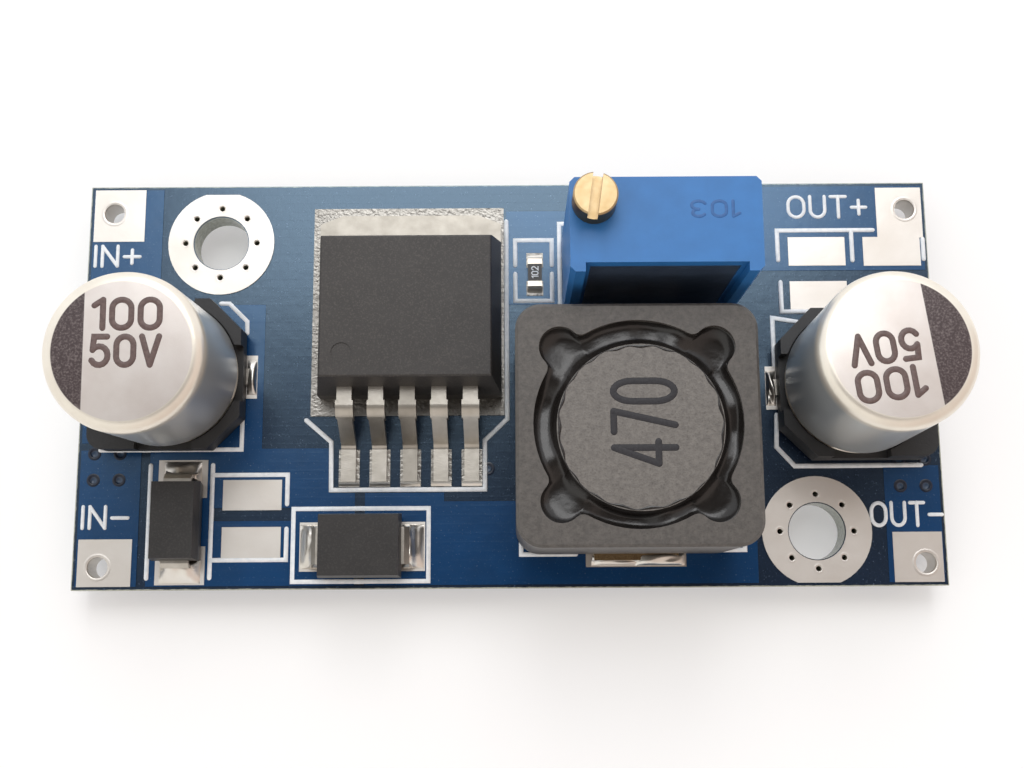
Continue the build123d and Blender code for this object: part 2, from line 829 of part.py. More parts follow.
diode("catch_diode", catch_diode_centre, catch_body, catch_terminal_width, (1, 0))
diode(
    "protection_diode", protection_diode_centre, protection_body, protection_terminal_width, (0, 1)
)

# Chip resistor: a ceramic block with a metal cap over each end
with BuildPart() as resistor_body:
    with BuildSketch(Plane.XY.offset(seat + resistor_skin)):
        with Locations(resistor_centre):
            Rectangle(resistor_width - 2 * resistor_skin, resistor_length - 2 * resistor_skin)
    extrude(amount=resistor_height - 2 * resistor_skin)
pieces["resistor_body"] = resistor_body.part

for name, side in {"resistor_cap_front": -1, "resistor_cap_back": 1}.items():
    with BuildPart() as resistor_cap:
        with BuildSketch(Plane.XY.offset(seat)):
            cap_y = resistor_centre[1] + side * (resistor_length - resistor_cap_length) / 2
            with Locations((resistor_centre[0], cap_y)):
                Rectangle(resistor_width, resistor_cap_length)
        extrude(amount=resistor_height)
        add(resistor_body.part, mode=Mode.SUBTRACT)
    pieces[name] = resistor_cap.part


def facing_front(y):
    """The plane at a given Y that looks to the front edge, with X to the right and Z up."""
    return Plane.XZ.offset(-y)


# Trimmer pins: straight round pins in the potting, through the board
for number, place in enumerate(pin_places, start=1):
    with BuildPart() as trimmer_pin:
        with BuildSketch(Plane.XY):
            with Locations(place):
                RegularPolygon(pin_radius, pin_sides)
        extrude(amount=pin_top)
    pieces[f"trimmer_pin_{number}"] = trimmer_pin.part

# Trimmer housing: a box on four feet, recessed in front, hollow for the worm drive
with BuildPart() as trimmer_housing:
    with BuildSketch(Plane.XY.offset(trimmer_bottom)) as housing_outline:
        with Locations((trimmer_x, trimmer_y)):
            Rectangle(trimmer_length, trimmer_depth)
        chamfer(housing_outline.vertices(), trimmer_corner)
        with Locations((trimmer_x, trimmer_front)):
            Rectangle(trimmer_length - 2 * recess_side, 2 * recess_depth, mode=Mode.SUBTRACT)
    extrude(amount=trimmer_height)
    with BuildSketch(Plane.XY.offset(trimmer_bottom)):
        with Locations((trimmer_x, trimmer_y)):
            Rectangle(trimmer_length - 2 * trimmer_foot_size, 2 * trimmer_depth)
            Rectangle(2 * trimmer_length, trimmer_depth - 2 * trimmer_foot_size)
    extrude(amount=trimmer_foot, mode=Mode.SUBTRACT)
    with BuildSketch(facing_front(recess_face)):
        block(
            (trimmer_x - pocket_length / 2, pocket_low), (trimmer_x + pocket_length / 2, pocket_high)
        )
    extrude(amount=recess_face - element_back, mode=Mode.SUBTRACT)
    with BuildSketch(facing_front(element_back)):
        with Locations((wheel_x, wheel_z)):
            Circle(wheel_radius + tooth_height + wheel_play)
    extrude(amount=element_back - cavity_back, mode=Mode.SUBTRACT)
    with BuildSketch(facing_front(cavity_back)):
        with Locations((wheel_x, wheel_z)):
            Circle(axle_radius)
    extrude(amount=axle_length)
    for radius, low, high in (
        (channel_radius, pocket_low, channel_top),
        (neck_radius + running_gap, channel_top, trimmer_top),
        (worm_core_radius + running_gap, worm_low - pivot_length - running_gap, pocket_low),
    ):
        with BuildSketch(Plane.XY.offset(low)):
            with Locations((screw_x, screw_y)):
                Circle(radius)
        extrude(amount=high - low, mode=Mode.SUBTRACT)
    for number in range(1, len(pin_places) + 1):
        add(pieces[f"trimmer_pin_{number}"], mode=Mode.SUBTRACT)
pieces["trimmer_housing"] = trimmer_housing.part

# Trimmer element: the ceramic plate that carries the resistive track
with BuildPart() as trimmer_element:
    with BuildSketch(facing_front(element_front)):
        block(
            (trimmer_x - pocket_length / 2, pocket_low), (trimmer_x + pocket_length / 2, pocket_high)
        )
    extrude(amount=element_front - element_back)
pieces["trimmer_element"] = trimmer_element.part

# Trimmer potting: resin that closes the pocket behind the front recess, round the pins
with BuildPart() as trimmer_potting:
    with BuildSketch(facing_front(recess_face + potting_setback)):
        block(
            (trimmer_x - pocket_length / 2, pocket_low), (trimmer_x + pocket_length / 2, pocket_high)
        )
    extrude(amount=potting_setback - potting_depth)
    for number in range(1, len(pin_places) + 1):
        add(pieces[f"trimmer_pin_{number}"], mode=Mode.SUBTRACT)
pieces["trimmer_potting"] = trimmer_potting.part

# Adjusting screw: slotted head, neck, collar, worm and bottom pivot, turned from brass
head_low = trimmer_top + head_gap
head_high = head_low + head_height
with BuildPart() as adjusting_screw:
    with BuildSketch(upright((screw_x, screw_y, 0), (1, 0))):
        with BuildLine():
            Polyline(
                (0, worm_low - pivot_length),
                (worm_core_radius, worm_low - pivot_length),
                (worm_core_radius, worm_high),
                (worm_crest_radius, worm_high),
                (worm_crest_radius, collar_top),
                (neck_radius, collar_top),
                (neck_radius, head_low),
                (head_radius, head_low),
                (head_radius, head_high - head_chamfer),
                (head_radius - head_chamfer, head_high),
                (0, head_high),
                close=True,
            )
        make_face()
    revolve(axis=Axis((screw_x, screw_y, 0), (0, 0, 1)))
    with BuildSketch(Plane.XY.offset(head_high)):
        with Locations(Location((screw_x, screw_y), slot_angle)):
            Rectangle(slot_width, 3 * head_radius)
    extrude(amount=-slot_depth, mode=Mode.SUBTRACT)
pieces["adjusting_screw"] = adjusting_screw.part

# Screw seal: a rubber ring round the neck, between the collar and the housing's top wall
with BuildPart() as screw_seal:
    with BuildSketch(Plane.XY.offset(collar_top + seal_gap)):
        with Locations((screw_x, screw_y)):
            RegularPolygon(neck_radius + seal_gap + seal_width, seal_sides)
            RegularPolygon(neck_radius + seal_gap, seal_sides, False, mode=Mode.SUBTRACT)
    extrude(amount=seal_height)
pieces["screw_seal"] = screw_seal.part

# Worm wheel: a toothed disc that turns on the housing's axle, with a hub for the wiper
with BuildPart() as worm_wheel:
    with BuildSketch(facing_front(wheel_front)):
        with Locations((wheel_x, wheel_z)):
            root_radius = wheel_radius - tooth_root_depth
            Circle(root_radius)
            with PolarLocations(root_radius, wheel_teeth):
                Polygon(
                    (-tooth_root_depth, -tooth_root_width / 2),
                    (tooth_root_depth + tooth_height, -tooth_tip_width / 2),
                    (tooth_root_depth + tooth_height, tooth_tip_width / 2),
                    (-tooth_root_depth, tooth_root_width / 2),
                    align=None,
                )
    extrude(amount=-wheel_thickness)
    with BuildSketch(facing_front(wheel_front)):
        with Locations((wheel_x, wheel_z)):
            Circle(hub_radius)
    extrude(amount=wheel_front - element_back - wiper_gap)
    with BuildSketch(facing_front(wheel_back)):
        with Locations((wheel_x, wheel_z)):
            Circle(axle_radius + running_gap)
    extrude(amount=axle_length, mode=Mode.SUBTRACT)
pieces["worm_wheel"] = worm_wheel.part

# Wiper: a spring ring on the wheel's hub, with an arm that runs over the element's track
with BuildPart() as wiper:
    with BuildSketch(facing_front(wheel_front)):
        with Locations((wheel_x, wheel_z)):
            Circle(hub_radius + wiper_ring_width)
            Circle(hub_radius, mode=Mode.SUBTRACT)
    extrude(amount=wiper_thickness)
    arm_start = wheel_front - wiper_thickness / 2
    arm_end = element_back + wiper_gap + wiper_thickness / 2
    with BuildSketch(Plane.YZ.offset(wheel_x)):
        with BuildLine():
            Polyline(
                (arm_start, wheel_z - hub_radius - wiper_ring_width / 2),
                (arm_end, wheel_z - wiper_bend),
                (arm_end, wheel_z - wiper_reach),
            )
        trace(line_width=wiper_thickness)
    extrude(amount=wiper_width / 2, both=True)
pieces["wiper"] = wiper.part

# Trimmer solder: hangs from the land as a cone round each pin
with BuildPart() as trimmer_solder:
    for place in pin_places:
        for depth, radius in ((0, cone_radius), (cone_height, cone_tip_radius)):
            with BuildSketch(Plane.XY.offset(underside - land_height - depth)):
                with Locations(place):
                    RegularPolygon(radius, pin_sides)
        loft(ruled=True)
    for number in range(1, len(pin_places) + 1):
        add(pieces[f"trimmer_pin_{number}"], mode=Mode.SUBTRACT)
pieces["trimmer_solder"] = trimmer_solder.part


def solder_fillet(foot, outwards, width, fillet_size):
    """Adds a wedge with a hollow face, from the foot of a piece out over its land."""
    run, rise = fillet_size
    with BuildSketch(upright((*foot, seat), outwards)) as wedge:
        with BuildLine():
            Polyline((0, rise), (0, 0), (run, 0))
            RadiusArc((0, rise), (run, 0), -hypot(run, rise))
        make_face()
    extrude(wedge.sketch, amount=width / 2 + solder_side, both=True)


with BuildPart() as regulator_solder:
    for x in lead_places:
        solder_fillet((x, lead_tip_y), (0, -1), lead_width, lead_solder)
    tab_straight = tab_width - 2 * (tab_chamfer_x + solder_side)
    solder_fillet((regulator_x, tab_back_y), (0, 1), tab_straight, tab_solder)
pieces["regulator_solder"] = regulator_solder.part

with BuildPart() as terminal_solder:
    for centre in (input_cap_centre, output_cap_centre):
        for side in (-1, 1):
            end = centre[0] + side * (base_size / 2 + cap_lead_reach)
            solder_fillet((end, centre[1]), (side, 0), cap_lead_width, cap_solder)
    for centre, body, width, along in (
        (catch_diode_centre, catch_body, catch_terminal_width, (1, 0)),
        (protection_diode_centre, protection_body, protection_terminal_width, (0, 1)),
    ):
        for side in (-1, 1):
            reach = side * (body[0] / 2 + diode_terminal_reach + diode_terminal_thickness / 2)
            foot = (centre[0] + reach * along[0], centre[1] + reach * along[1])
            solder_fillet(foot, (side * along[0], side * along[1]), width, diode_solder)
    for side in (-1, 1):
        foot_y = inductor_y + side * (inductor_size / 2 + inductor_terminal_reach)
        solder_fillet((inductor_terminal_x, foot_y), (0, side), inductor_terminal_width, inductor_solder)
        foot_y = resistor_centre[1] + side * resistor_length / 2
        width = resistor_width - 2 * solder_side
        solder_fillet((resistor_centre[0], foot_y), (0, side), width, resistor_solder)
pieces["terminal_solder"] = terminal_solder.part

os.makedirs("parts", exist_ok=True)
for name, piece in pieces.items():
    piece.label = name
    export_step(piece, f"parts/{name}.step")
    print(name, len(piece.solids()), round(piece.volume, 3))
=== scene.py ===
import math

import bmesh
import bpy
import numpy as np
from mathutils import Euler, Matrix, Vector


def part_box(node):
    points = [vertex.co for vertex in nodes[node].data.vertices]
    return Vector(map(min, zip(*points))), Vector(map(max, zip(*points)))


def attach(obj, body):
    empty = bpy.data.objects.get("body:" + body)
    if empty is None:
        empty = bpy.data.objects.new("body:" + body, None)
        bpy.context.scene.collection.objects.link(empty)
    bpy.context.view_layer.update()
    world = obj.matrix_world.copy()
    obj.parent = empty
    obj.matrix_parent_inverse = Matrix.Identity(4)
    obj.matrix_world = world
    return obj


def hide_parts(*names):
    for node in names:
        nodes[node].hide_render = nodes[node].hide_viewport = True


# Dresses the step-down power module: finishes for its bodies, and the printed lines, figures,
# glue and solder that its plain solids leave out. Shapes are written in millimetres.

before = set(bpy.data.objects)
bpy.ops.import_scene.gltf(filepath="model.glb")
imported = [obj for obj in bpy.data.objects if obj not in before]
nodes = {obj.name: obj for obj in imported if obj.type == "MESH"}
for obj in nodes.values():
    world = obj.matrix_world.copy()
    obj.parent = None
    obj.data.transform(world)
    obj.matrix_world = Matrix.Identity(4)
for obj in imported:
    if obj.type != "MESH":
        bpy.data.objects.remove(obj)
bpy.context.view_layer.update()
MM = 0.001


def extent(node):
    """The low and high corner of a node at rest, in millimetres."""
    low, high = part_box(node)
    return np.array(low) / MM, np.array(high) / MM


board_low, board_high = extent("circuit_board")
board_length, board_width = (board_high - board_low)[:2]
board_top = board_high[2]
mask_top = extent("top_copper")[1][2]
land_top = extent("spare_lands")[1][2]


# Meshes


def grid_faces(rows, columns, wrap_rows=False, wrap_columns=False):
    """The quads of a grid of points, row by row, closed round where it wraps."""
    row = np.arange(rows if wrap_rows else rows - 1)[:, None]
    column = np.arange(columns if wrap_columns else columns - 1)[None, :]
    next_row = (row + 1) % rows
    next_column = (column + 1) % columns
    corners = [
        row * columns + column,
        row * columns + next_column,
        next_row * columns + next_column,
        next_row * columns + column,
    ]
    return np.stack([np.broadcast_to(c, corners[0].shape) for c in corners], axis=-1).reshape(-1, 4)


def piece(name, parts, finish, body="module", smooth=True):
    """One object made of several (points, faces) pairs in millimetres, closed at its poles."""
    points, faces, start = [], [], 0
    for part_points, part_faces in parts:
        flat = np.asarray(part_points, float).reshape(-1, 3)
        points.append(flat)
        faces.append(part_faces + start)
        start += len(flat)
    mesh = bpy.data.meshes.new(name)
    mesh.from_pydata(np.vstack(points) * MM, [], np.vstack(faces).tolist())
    shape = bmesh.new()
    shape.from_mesh(mesh)
    bmesh.ops.remove_doubles(shape, verts=shape.verts, dist=1e-8)
    bmesh.ops.dissolve_degenerate(shape, edges=shape.edges, dist=1e-9)
    bmesh.ops.recalc_face_normals(shape, faces=shape.faces)
    shape.to_mesh(mesh)
    shape.free()
    mesh.polygons.foreach_set("use_smooth", np.full(len(mesh.polygons), smooth))
    mesh.materials.append(finish)
    made = bpy.data.objects.new(name, mesh)
    bpy.context.scene.collection.objects.link(made)
    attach(made, body)
    return made


def ribbon(path, width, height, closed=False):
    """A flat line of ink along a path of (x, y) points: at each point stands a four-cornered
    section across the mean direction, widened at corners by one over the cosine of half the
    turn. Past an open end the section narrows as a cosine, which rounds the end."""
    path = np.asarray(path, float)
    if closed:
        ahead = np.roll(path, -1, axis=0) - path
        behind = path - np.roll(path, 1, axis=0)
    else:
        step = np.diff(path, axis=0)
        ahead = np.vstack([step, step[-1:]])
        behind = np.vstack([step[:1], step])
    ahead /= np.linalg.norm(ahead, axis=1, keepdims=True)
    behind /= np.linalg.norm(behind, axis=1, keepdims=True)
    tangent = ahead + behind
    tangent /= np.linalg.norm(tangent, axis=1, keepdims=True)
    half = width / 2 / np.clip((tangent * ahead).sum(axis=1), 0.4, 1)
    if not closed:
        turn = np.linspace(0, math.pi / 2, 6)[1:, None]
        reach = np.sin(turn) * width / 2
        path = np.vstack([path[:1] - tangent[:1] * reach[::-1], path, path[-1:] + tangent[-1:] * reach])
        narrow = np.cos(turn[:, 0]) * width / 2
        half = np.concatenate([narrow[::-1], half, narrow])
        tangent = np.vstack([np.repeat(tangent[:1], 5, 0), tangent, np.repeat(tangent[-1:], 5, 0)])
    across = np.column_stack([-tangent[:, 1], tangent[:, 0]])
    side = np.array([-1, -0.85, 0.85, 1])
    level = np.array([0, height, height, 0])
    flat = path[:, None, :] + across[:, None, :] * half[:, None, None] * side[None, :, None]
    points = np.dstack([flat, np.broadcast_to(level, flat.shape[:2])])
    return points, grid_faces(len(path), 4, wrap_rows=closed, wrap_columns=True)


def laid(part, origin, x_axis=(1, 0, 0), y_axis=(0, 1, 0)):
    """A flat part moved to an origin, its x and y along two directions and its z across them."""
    points, faces = part
    x_axis, y_axis = np.array(x_axis, float), np.array(y_axis, float)
    axes = np.stack([x_axis, y_axis, np.cross(x_axis, y_axis)])
    return points @ axes + np.array(origin, float), faces


def turned(profile, origin, axis=(0, 0, 1), steps=96):
    """A profile of (radius, height) points turned round an axis: each point goes to the origin
    plus its radius along a turning direction plus its height along the axis."""
    profile = np.asarray(profile, float)
    axis = np.array(axis, float)
    first = np.cross((0, 1, 0), axis)
    first /= np.linalg.norm(first)
    second = np.cross(axis, first)
    angle = np.linspace(0, 2 * math.pi, steps, endpoint=False)
    spoke = np.cos(angle)[:, None] * first + np.sin(angle)[:, None] * second
    points = (
        np.array(origin, float)
        + spoke[:, None, :] * profile[None, :, :1]
        + axis * profile[None, :, 1:]
    )
    return points, grid_faces(steps, len(profile), wrap_rows=True)


def arc(centre, radii, start, end, count=14):
    """Points on an ellipse between two angles in degrees."""
    angle = np.radians(np.linspace(start, end, count))
    return np.column_stack([centre[0] + radii[0] * np.cos(angle), centre[1] + radii[1] * np.sin(angle)])


def wander(angle, seed, waves, size):
    """A closed wavy line over an angle: a sum of sines with seeded random heights and phases."""
    source = np.random.default_rng(seed)
    total = np.zeros_like(angle)
    for wave in waves:
        total += source.normal() * np.sin(wave * angle + source.uniform(0, 2 * math.pi))
    return total * size / math.sqrt(len(waves))


# Letters and figures as strokes, one unit high: width of each, and its paths
oval = np.vstack([arc((0.31, 0.69), (0.31, 0.31), 0, 180), arc((0.31, 0.31), (0.31, 0.31), 180, 360)])
wide_oval = np.vstack(
    [arc((0.38, 0.62), (0.38, 0.38), 0, 180), arc((0.38, 0.38), (0.38, 0.38), 180, 360)]
)
LETTERS = {
    "0": (0.62, [(oval, True)]),
    "1": (0.34, [([(0.06, 0.8), (0.34, 1)], False), ([(0.34, 1), (0.34, 0)], False)]),
    "2": (0.62, [(np.vstack([arc((0.31, 0.69), (0.31, 0.31), 165, -38), [(0, 0), (0.62, 0)]]), False)]),
    "3": (
        0.62,
        [
            (arc((0.3, 0.76), (0.27, 0.24), 155, -90), False),
            (arc((0.3, 0.27), (0.31, 0.27), 90, -155), False),
        ],
    ),
    "4": (
        0.66,
        [
            ([(0.48, 0), (0.48, 1)], False),
            ([(0.48, 1), (0, 0.28)], False),
            ([(0, 0.28), (0.66, 0.28)], False),
        ],
    ),
    "5": (
        0.62,
        [
            ([(0.57, 1), (0.1, 1), (0.06, 0.53)], False),
            (arc((0.3, 0.33), (0.31, 0.33), 138, -150), False),
        ],
    ),
    "7": (0.62, [([(0, 1), (0.62, 1)], False), ([(0.62, 1), (0.2, 0)], False)]),
    "V": (0.62, [([(0, 1), (0.31, 0)], False), ([(0.31, 0), (0.62, 1)], False)]),
    "I": (0.0, [([(0, 0), (0, 1)], False)]),
    "N": (0.66, [([(0, 0), (0, 1)], False), ([(0, 1), (0.66, 0)], False), ([(0.66, 0), (0.66, 1)], False)]),
    "O": (0.76, [(wide_oval, True)]),
    "U": (0.7, [(np.vstack([[(0, 1)], arc((0.35, 0.35), (0.35, 0.35), 180, 360), [(0.7, 1)]]), False)]),
    "T": (0.7, [([(0, 1), (0.7, 1)], False), ([(0.35, 1), (0.35, 0)], False)]),
    "+": (0.66, [([(0, 0.47), (0.66, 0.47)], False), ([(0.33, 0.14), (0.33, 0.8)], False)]),
    "-": (0.66, [([(0, 0.47), (0.66, 0.47)], False)]),
}


def lettering(text, width, height, stroke, ink, gap=0.3):
    """Ribbons for a line of text, fitted to a width and height from outer edge to outer edge."""
    reach = sum(LETTERS[sign][0] for sign in text) + gap * (len(text) - 1)
    scale = np.array([(width - stroke) / reach, height - stroke])
    parts, at = [], 0.0
    for sign in text:
        sign_width, paths = LETTERS[sign]
        for path, closed in paths:
            placed = (np.asarray(path, float) + (at, 0)) * scale + stroke / 2
            # Each stroke lies a hair higher than the last, so crossing strokes share no plane
            parts.append(ribbon(placed, stroke, ink * (1 + 0.03 * len(parts)), closed))
        at += sign_width + gap
    return parts


# Materials


def linear(colour):
    """An sRGB hex colour as linear red, green, blue and alpha."""
    share = np.array([int(colour[i:i + 2], 16) for i in (1, 3, 5)]) / 255
    bent = ((share + 0.055) / 1.055) ** 2.4
    return (*np.where(share <= 0.04045, share / 12.92, bent), 1.0)


def add(tree, kind, inputs=None, **settings):
    """Adds a node with its settings, and with values or links for its inputs."""
    node = tree.nodes.new(kind)
    for name, value in settings.items():
        setattr(node, name, value)
    for name, value in (inputs or {}).items():
        if isinstance(value, bpy.types.NodeSocket):
            tree.links.new(value, node.inputs[name])
        else:
            node.inputs[name].default_value = value
    return node


def material(name, roughness, metallic=0.0, **more):
    """A new material with one shader; gives it, its tree, the shader and the object's own place."""
    made = bpy.data.materials.new(name)
    made.use_nodes = True
    tree = made.node_tree
    tree.nodes.clear()
    inputs = {"Roughness": roughness, "Metallic": metallic, **more}
    shader = add(tree, "ShaderNodeBsdfPrincipled", inputs)
    add(tree, "ShaderNodeOutputMaterial", {"Surface": shader.outputs[0]})
    place = add(tree, "ShaderNodeTexCoord").outputs["Object"]
    return made, tree, shader, place


def clouds(tree, place, size, low=0.3, high=0.7, detail=4.0):
    """Cloudy noise from 0 to 1, with lumps of a size in millimetres."""
    noise = add(tree, "ShaderNodeTexNoise", {"Vector": place, "Scale": 1 / (size * MM), "Detail": detail})
    share = {"Value": noise.outputs["Fac"], "From Min": low, "From Max": high}
    return add(tree, "ShaderNodeMapRange", share).outputs[0]


def blended(tree, share, first, second):
    """Two colours, each a hex value or another node's colour, mixed by a share."""
    ends = [linear(end) if isinstance(end, str) else end for end in (first, second)]
    mix = add(tree, "ShaderNodeMix", {0: share, 6: ends[0], 7: ends[1]}, data_type="RGBA")
    return mix.outputs[2]


def raised(tree, height, depth, under=None):
    """A normal bumped by a height from 0 to 1 that stands for a depth in millimetres."""
    inputs = {"Height": height, "Distance": depth * MM, "Strength": 1.0}
    if under:
        inputs["Normal"] = under
    return add(tree, "ShaderNodeBump", inputs).outputs[0]


def mask_finish(name, over_copper):
    """Cured solder mask, sprayed and baked: a clear blue glaze that looks deeper over bare
    laminate. The sawn edges and drilled walls show the pale laminate, and the mask stops just
    short of the board's edges."""
    # The glaze and the metal or cloth under it both throw light back through the pigment, so the
    # glare is stronger than plain resin gives, and light blue
    glare = {"IOR": 1.85, "Specular Tint": linear("#c2e4ff")}
    made, tree, shader, place = material(name, 0.2, **glare)
    shades = ("#093a68", "#07325b") if over_copper else ("#182438", "#141f31")
    glaze = blended(tree, clouds(tree, place, 2.5), *shades)
    if not over_copper:
        facing = add(tree, "ShaderNodeSeparateXYZ",
                     {"Vector": add(tree, "ShaderNodeNewGeometry").outputs["Normal"]}).outputs["Z"]
        below = add(tree, "ShaderNodeMath", {0: facing, 1: -0.5}, operation="LESS_THAN").outputs[0]
        glaze = blended(tree, below, glaze, "#0c3e6c")
        level = add(tree, "ShaderNodeMath", {0: facing}, operation="ABSOLUTE").outputs[0]
        bare = [add(tree, "ShaderNodeMath", {0: level, 1: 0.5}, operation="LESS_THAN").outputs[0]]
        across = add(tree, "ShaderNodeSeparateXYZ", {"Vector": place})
        ragged = clouds(tree, place, 0.5, 0.3, 0.6)
        for axis, reach in (("X", board_length / 2), ("Y", board_width / 2)):
            size = add(tree, "ShaderNodeMath", {0: across.outputs[axis]}, operation="ABSOLUTE").outputs[0]
            # The margin of bare laminate is 0.04 to 0.07 mm wide
            lap = {0: ragged, 1: 0.03 * MM, 2: (reach - 0.07) * MM}
            start = add(tree, "ShaderNodeMath", lap, operation="MULTIPLY_ADD").outputs[0]
            bare.append(add(tree, "ShaderNodeMath", {0: size, 1: start}, operation="GREATER_THAN").outputs[0])
        for edge in bare:
            resin = blended(tree, clouds(tree, place, 0.2), "#9a9a88", "#b9b9a8")
            glaze = blended(tree, edge, glaze, resin)
    # Dust and pinholes of about 0.1 mm
    specks = add(tree, "ShaderNodeMath", {0: clouds(tree, place, 0.11, 0.64, 0.74), 1: 0.3},
                 operation="MULTIPLY").outputs[0]
    glaze = blended(tree, specks, glaze, "#8fa3b8")
    tree.links.new(glaze, shader.inputs["Base Color"])
    # The glass cloth's threads lie about 0.5 mm apart
    weave = add(tree, "ShaderNodeTexBrick", {"Vector": place, "Scale": 1 / (0.5 * MM), "Mortar Size": 0.1,
                                             "Brick Width": 1.0, "Row Height": 1.0, "Bias": 0.0})
    bumps = raised(tree, weave.outputs["Fac"], 0.0005)
    bumps = raised(tree, clouds(tree, place, 0.6), 0.002, bumps)
    tree.links.new(bumps, shader.inputs["Normal"])
    return made


def metal_finish(name, light, dark, roughness, lump, depth, grain=0.0, grain_depth=0.0, patch=3.0):
    """A metal surface in two near shades, with lumps and, if asked, a finer grain on them."""
    made, tree, shader, place = material(name, roughness, 1.0)
    tree.links.new(blended(tree, clouds(tree, place, patch), light, dark), shader.inputs["Base Color"])
    bumps = raised(tree, clouds(tree, place, lump, 0.2, 0.8, 2.0), depth)
    if grain:
        bumps = raised(tree, clouds(tree, place, grain, 0.2, 0.8), grain_depth, bumps)
    tree.links.new(bumps, shader.inputs["Normal"])
    return made


def moulded_finish(name, light, dark, roughness, grain, depth, patch=1.5, fleck=None):
    """A moulded, sintered or cast surface in two near shades, with a fine grain, and flecks of
    another colour where filler shows."""
    made, tree, shader, place = material(name, roughness)
    tone = blended(tree, clouds(tree, place, patch), light, dark)
    if fleck:
        flecks = add(tree, "ShaderNodeMath", {0: clouds(tree, place, 0.09, 0.5, 0.75), 1: 0.5},
                     operation="MULTIPLY").outputs[0]
        tone = blended(tree, flecks, tone, fleck)
    tree.links.new(tone, shader.inputs["Base Color"])
    bumps = raised(tree, clouds(tree, place, grain, 0.2, 0.8), depth)
    tree.links.new(bumps, shader.inputs["Normal"])
    return made


blue_mask = mask_finish("solder mask over copper", True)
navy_mask = mask_finish("solder mask over laminate", False)
# Tinned copper, levelled with hot air: its skin is frosty, so it gathers light from all round
tinned = metal_finish("hot air levelled tin", "#e0dcd6", "#d4cec6", 0.41, 0.9, 0.004, 0.12, 0.0012)
# The land between the regulator's leads froze in coarse crystals
frosted_tin = metal_finish("frosted tin", "#a5a29c", "#888580", 0.34, 0.22, 0.03, 0.09, 0.012)
# Reflowed solder: bright, with slow lumps
solder = metal_finish("reflowed solder", "#e9e6df", "#d2ccc2", 0.32, 0.6, 0.008, 0.1, 0.001)
# Matt electroplated tin on copper strip: warm grey, very fine grain
plated_tin = metal_finish("matt tin plate", "#c4bfb6", "#b2ada3", 0.36, 0.5, 0.004, 0.05, 0.0016, 0.8)
# The tab's tin is the leads' tin, a little rougher, and its colour is painted darker as painted shade against
# the window lamp's glare on its broad face
shade_painted_tab_tin = metal_finish("matt tin plate on the tab", "#aba69d", "#98938a", 0.4, 0.5, 0.003, 0.05, 0.001, 0.8)
gold_tin = metal_finish("flashed tin plate", "#d2ba90", "#b99f78", 0.25, 0.5, 0.012, 0.08, 0.002, 1.2)
steel_pin = metal_finish("tinned pin wire", "#d2ccc0", "#bdb6aa", 0.28, 0.3, 0.004)


def brass_finish(top):
    """Turned brass, coloured by which way each face looks: the head's face and the slot's floor look up and
    are pale, and down the sides and the slot's walls the metal is painted browner as painted shade."""
    made, tree, shader, place = material("turned brass", 0.36, 1.0)
    level = add(tree, "ShaderNodeSeparateXYZ", {"Vector": place}).outputs["Z"]
    facing = add(tree, "ShaderNodeSeparateXYZ",
                 {"Vector": add(tree, "ShaderNodeNewGeometry").outputs["True Normal"]}).outputs["Z"]
    upward = add(tree, "ShaderNodeMath", {0: facing, 1: 0.5}, operation="GREATER_THAN").outputs[0]
    slot_floor = (top - 0.9) * MM
    head = add(tree, "ShaderNodeMath", {0: level, 1: slot_floor}, operation="GREATER_THAN").outputs[0]
    face = add(tree, "ShaderNodeMath", {0: upward, 1: head}, operation="MULTIPLY").outputs[0]
    pale_lit_brass = blended(tree, clouds(tree, place, 0.5), "#b9a380", "#a9916b")
    # Faces that don't look up, and those below the slot's floor, take the browner colour: painted shade
    tree.links.new(blended(tree, face, "#8c6534", pale_lit_brass), shader.inputs["Base Color"])
    bumps = raised(tree, clouds(tree, place, 0.25, 0.2, 0.8), 0.003)
    tree.links.new(bumps, shader.inputs["Normal"])
    return made


brass = brass_finish(extent("adjusting_screw")[1][2])
spring = metal_finish("spring bronze", "#c9a877", "#b08f60", 0.3, 0.4, 0.002)
# Epoxy moulding compound, spark-eroded mould: warm dark grey with a fine matt grain
epoxy = moulded_finish("epoxy moulding compound", "#33302e", "#2e2b29", 0.5, 0.06, 0.003, fleck="#57524d")
diode_epoxy = moulded_finish("diode moulding compound", "#252322", "#1e1c1b", 0.45, 0.06, 0.003,
                             fleck="#3e3a38")
# Sintered ferrite: ground grey-brown, mottled, with fine pores
ferrite = moulded_finish("sintered ferrite", "#5b5753", "#494643", 0.45, 0.09, 0.005, 0.25,
                         fleck="#37332f")
# The drum's end is polished, so it looks lighter than the shield, with open pores
drum_ferrite = moulded_finish("polished ferrite", "#74706b", "#625e5a", 0.38, 0.09, 0.006, 0.25,
                              fleck="#393531")
# Black glue cured glossy, with slow waves
glue_gloss = moulded_finish("cured black glue", "#191716", "#24211f", 0.26, 0.8, 0.02)
winding = moulded_finish("enamelled copper winding", "#8a4420", "#6c3418", 0.25, 0.3, 0.01)
base_plastic = moulded_finish("moulded liquid crystal polymer", "#29292a", "#1f1f20", 0.5, 0.1, 0.006)
trimmer_blue = moulded_finish("moulded blue thermoplastic", "#2d73b6", "#296cac", 0.42, 0.09, 0.0012, 1.0)
potting = moulded_finish("dark potting resin", "#364254", "#414e61", 0.3, 1.2, 0.03)
ceramic = moulded_finish("fired alumina", "#e6e2d6", "#dad5c6", 0.5, 0.05, 0.001)
chip_black = moulded_finish("chip overglaze", "#1b1a1c", "#131214", 0.3, 0.2, 0.002)
seal_rubber = moulded_finish("silicone rubber", "#1a1a1b", "#141415", 0.6, 0.1, 0.002)
wheel_plastic = moulded_finish("moulded nylon", "#dcd9cf", "#d2cfc4", 0.45, 0.1, 0.002)
# Screen-printed epoxy ink: flat white, its surface a little rough
silk_ink = moulded_finish("white legend ink", "#f2f4f5", "#dde3e8", 0.5, 0.08, 0.003, 0.3)
